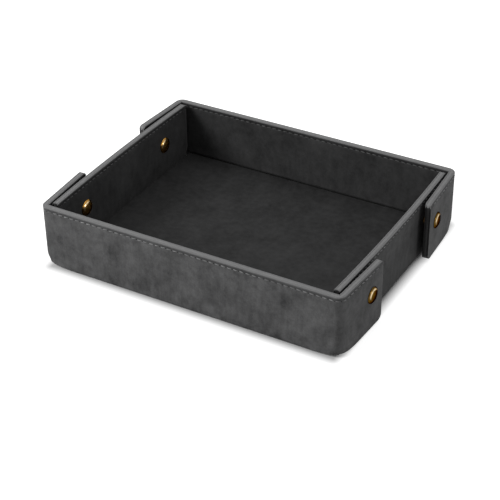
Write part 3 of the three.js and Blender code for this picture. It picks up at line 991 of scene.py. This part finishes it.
class TRAY_OT_stitching(bpy.types.Operator):
    """Sews a row of stitches below every rim, outside and inside"""

    bl_idname = "tray.stitching"
    bl_label = "Stitching"

    stop = 4 * MM
    dive = 0.3 * MM
    # Power of the taper; lean and height by the thread's width; seat by the groove's depth
    taper, lean, height, seat = 0.6, 0.22, 0.42, 0.35

    def beads(self, centres, sizes):
        """Stitches as closed spindles: along, drop and lift of every point, and the faces.

        The width follows sin(a)^taper from end to end, the drop leans with the slant of a lock
        stitch, and the ends dive into the leather by the fourth power of the distance.
        """
        polar = np.linspace(0, math.pi, THREAD_RINGS + 2)[1:-1]
        girth = np.sin(polar)[:, None] ** self.taper
        around = np.linspace(0, FULL_TURN, THREAD_SIDES, endpoint=False)
        share = np.r_[-1, np.repeat(-np.cos(polar), THREAD_SIDES), 1]
        across = np.r_[0, (girth * np.cos(around)).ravel(), 0]
        lift = np.r_[0, (girth * np.sin(around)).ravel(), 0]
        along = centres[:, None] + share * sizes.stitch_length / 2
        drop = sizes.stitch_drop + across * sizes.thread / 2 + share * sizes.thread * self.lean
        raised = (lift * sizes.thread * self.height - sizes.groove * self.seat
                  - self.dive * share ** 4)
        rings = 1 + np.arange(THREAD_RINGS * THREAD_SIDES).reshape(THREAD_RINGS, THREAD_SIDES)
        last = 1 + rings.size
        first_points = (last + 1) * np.arange(len(centres))[:, None, None]
        quads = (quads_between(rings) + first_points).reshape(-1, 4)
        ends = (fans_to(rings, 0, last) + first_points).reshape(-1, 3)
        return along, drop, raised, quads.tolist() + ends.tolist()

    def execute(self, context):
        sizes, materials = context.scene.tray_sizes, tray_materials(context.scene)
        pitch = sizes.stitch_pitch
        sewn_faces = {
            "outer": (lambda raised: -raised, materials["sewing_thread"]),
            "inner": (lambda raised: PANEL + raised, materials["lining_thread"]),
        }
        count = int((WRAP_LENGTH - self.stop) / pitch)
        along, drop, raised, faces = self.beads((np.arange(count) + 0.5) * pitch, sizes)
        for face, (depth_of, thread) in sewn_faces.items():
            x, y = wrap_plan(along, depth_of(raised))
            for corner in CORNERS:
                place = (corner.flip_x * x, corner.flip_y * y, RIM - drop)
                piece = sewn_piece(f"{corner.name}_wrap_{face}_stitches", place, (along, drop, 0),
                                   faces, thread)
                blend_round(piece)
        half = int((END_SPAN - self.stop) / pitch)
        along, drop, raised, faces = self.beads((np.arange(-half, half) + 0.5) * pitch, sizes)
        for face, (depth_of, thread) in sewn_faces.items():
            x = HALF_LENGTH - depth_of(raised) + end_bow(along, RIM - drop, sizes.bow)
            for side in ("left", "right"):
                place = (SIDES[side] * x, along, RIM - drop)
                piece = sewn_piece(f"{side}_end_{face}_stitches", place, (along, drop, 0),
                                   faces, thread)
                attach(piece, f"{side}_end_wall")
        return {"FINISHED"}


class TRAY_OT_snaps(bpy.types.Operator):
    """Turns the four brass snaps: cap and socket on each tab, stud and post on each end wall"""

    bl_idname = "tray.snaps"
    bl_label = "Snaps"

    stem, hole, soft = 1.6 * MM, 1.85 * MM, 0.2 * MM
    roll_steps, dome_steps, soft_steps = 5, 18, 4
    # Height of the head on its stem, rise of the dome, roll of the edge and power of the dome
    heads = {
        "cap": (2.35 * MM, 2.7 * MM, 0.4 * MM, 0.7),
        "post": (2.75 * MM, 2.75 * MM, 0.3 * MM, 0.75),
    }
    # Radius and height of the step, as shares of the ring's own
    steps = {"socket": (0.86, 0.55), "stud": (0.56, 0.4)}
    # The rubbed band, partly wear and partly a painted highlight: its middle and half width by the
    # radius, and where it fades downward
    band, band_width, fade_from, fade_length = 0.78, 0.13, 0.4, 0.9

    def headed(self, radius, length, head, rise, rolled, power):
        """Section of a domed head on a stem, from the stem's end to the crown: radii and heights.

        Under the head the edge rolls up by a quarter circle. Above it the dome rises by
        (1 - (r / radius)^2)^power: a parabola for 1, a round shoulder for less.
        """
        roll = np.linspace(-QUARTER, 0, self.roll_steps)
        share = np.cos(np.linspace(0, QUARTER, self.dome_steps)[1:])
        foot = length - head
        r = np.r_[0, self.stem, self.stem, radius - rolled + rolled * np.cos(roll), radius * share]
        h = np.r_[0, 0, foot, foot + rolled + rolled * np.sin(roll),
                  foot + rolled + (rise - rolled) * (1 - share ** 2) ** power]
        return r, h

    def ringed(self, radius, length, step_share, height_share):
        """Section of a pierced ring, wide at its seat and stepped in above, with softened edges."""
        step_radius, step, soft = step_share * radius, height_share * length, self.soft
        turn = np.linspace(0, QUARTER, self.soft_steps)
        r = np.r_[self.hole, radius - soft, radius - soft + soft * np.cos(turn), step_radius,
                  step_radius - soft + soft * np.cos(turn), self.hole]
        h = np.r_[0, 0, step - soft + soft * np.sin(turn), step,
                  length - soft + soft * np.sin(turn), length]
        return r, h

    def rubbed(self, share, up):
        """Wear and a painted highlight on the upper shoulder: a band round the head that fades
        downward.
        """
        band = smooth(1 - np.abs(share - self.band) / self.band_width)
        return band * smooth((up + self.fade_from) / self.fade_length)

    def turned(self, node, out, kind):
        """A section carried round a node's axis: seat + r * (cos a * side + sin a * up) + h * out.

        A ring's section is closed. A head's starts and ends on the axis, in one point with a fan of
        triangles. The third result is the band's share at each point, partly worn patina and partly
        a painted highlight.
        """
        up = np.array((0, 0, 1.0))
        side = np.cross(up, out)
        solid = node_points(node)
        across, upward, outward = (solid @ axis for axis in (side, up, out))
        radius, length_out = np.ptp(upward) / 2, np.ptp(outward)
        seat = ((across.max() + across.min()) / 2 * side + (upward.max() + upward.min()) / 2 * up
                + outward.min() * out)
        closed = kind in self.steps
        if closed:
            r, h = self.ringed(radius, length_out, *self.steps[kind])
        else:
            r, h = self.headed(radius, length_out, *self.heads[kind])
        angle = np.linspace(0, FULL_TURN, TURNED_SIDES, endpoint=False)[None, :, None]
        spokes = np.cos(angle) * side + np.sin(angle) * up
        kept = slice(None) if closed else slice(1, -1)
        grid = seat + r[kept, None, None] * spokes + h[kept, None, None] * out
        rings = np.arange(grid.shape[0] * TURNED_SIDES).reshape(-1, TURNED_SIDES)
        points = grid.reshape(-1, 3)
        rubbed = self.rubbed(r[kept, None] / radius, np.sin(angle[..., 0])).ravel()
        if closed:
            faces = quads_between(np.r_[rings, rings[:1]]).tolist()
        else:
            fans = fans_to(rings, rings.size, rings.size + 1)
            faces = quads_between(rings).tolist() + fans.tolist()
            points = np.r_[points, seat + h[[0, -1], None] * out]
            rubbed = np.r_[rubbed, self.rubbed(np.zeros(2), 0)]
        return points, faces, rubbed

    def execute(self, context):
        materials = tray_materials(context.scene)
        for corner in CORNERS:
            wall_out = np.array((corner.flip_x, 0, 0))
            tab_out = np.array((
                corner.flip_x * math.cos(TAB_FLARE), corner.flip_y * math.sin(TAB_FLARE), 0))
            seats = {
                "cap": (f"{corner.tab}_snap_cap", tab_out, corner.tab),
                "socket": (f"{corner.tab}_snap_socket", -tab_out, corner.tab),
                "stud": (f"{corner.name}_snap_stud", wall_out, corner.end_wall),
                "post": (f"{corner.name}_snap_post", -wall_out, corner.end_wall),
            }
            for kind, (node, out, body) in seats.items():
                points, faces, rubbed = self.turned(node, out, kind)
                brass = materials["cap_brass" if kind == "cap" else "aged_brass"]
                piece = make_piece(
                    f"{corner.name}_brass_{kind}", points, faces, brass, "rubbed", rubbed)
                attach(piece, body)
                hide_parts(node)
        return {"FINISHED"}


class TRAY_PT_panel(bpy.types.Panel):
    """Lists the tray's makers and its sizes and colours"""

    bl_idname = "TRAY_PT_panel"
    bl_label = "Leather Tray"
    bl_space_type = "VIEW_3D"
    bl_region_type = "UI"
    bl_category = "Tray"

    def draw(self, context):
        for maker in MAKERS:
            self.layout.operator(maker.bl_idname)
        for group in (context.scene.tray_sizes, context.scene.tray_finish):
            for name in group.bl_rna.properties.keys():
                if name not in ("rna_type", "name"):
                    self.layout.prop(group, name)


MAKERS = (TRAY_OT_stage, TRAY_OT_base, TRAY_OT_wraps, TRAY_OT_end_walls, TRAY_OT_creases,
          TRAY_OT_stitching, TRAY_OT_snaps)
CLASSES = (TraySizes, TrayFinish, *MAKERS, TRAY_PT_panel)


def register():
    for cls in CLASSES:
        bpy.utils.register_class(cls)
    bpy.types.Scene.tray_sizes = PointerProperty(type=TraySizes)
    bpy.types.Scene.tray_finish = PointerProperty(type=TrayFinish)


def unregister():
    del bpy.types.Scene.tray_finish
    del bpy.types.Scene.tray_sizes
    for cls in reversed(CLASSES):
        bpy.utils.unregister_class(cls)


def main():
    register()
    bpy.ops.tray.stage()
    bpy.ops.tray.base()
    bpy.ops.tray.wraps()
    bpy.ops.tray.end_walls()
    bpy.ops.tray.creases()
    bpy.ops.tray.stitching()
    bpy.ops.tray.snaps()


if __name__ == "__main__":
    main()
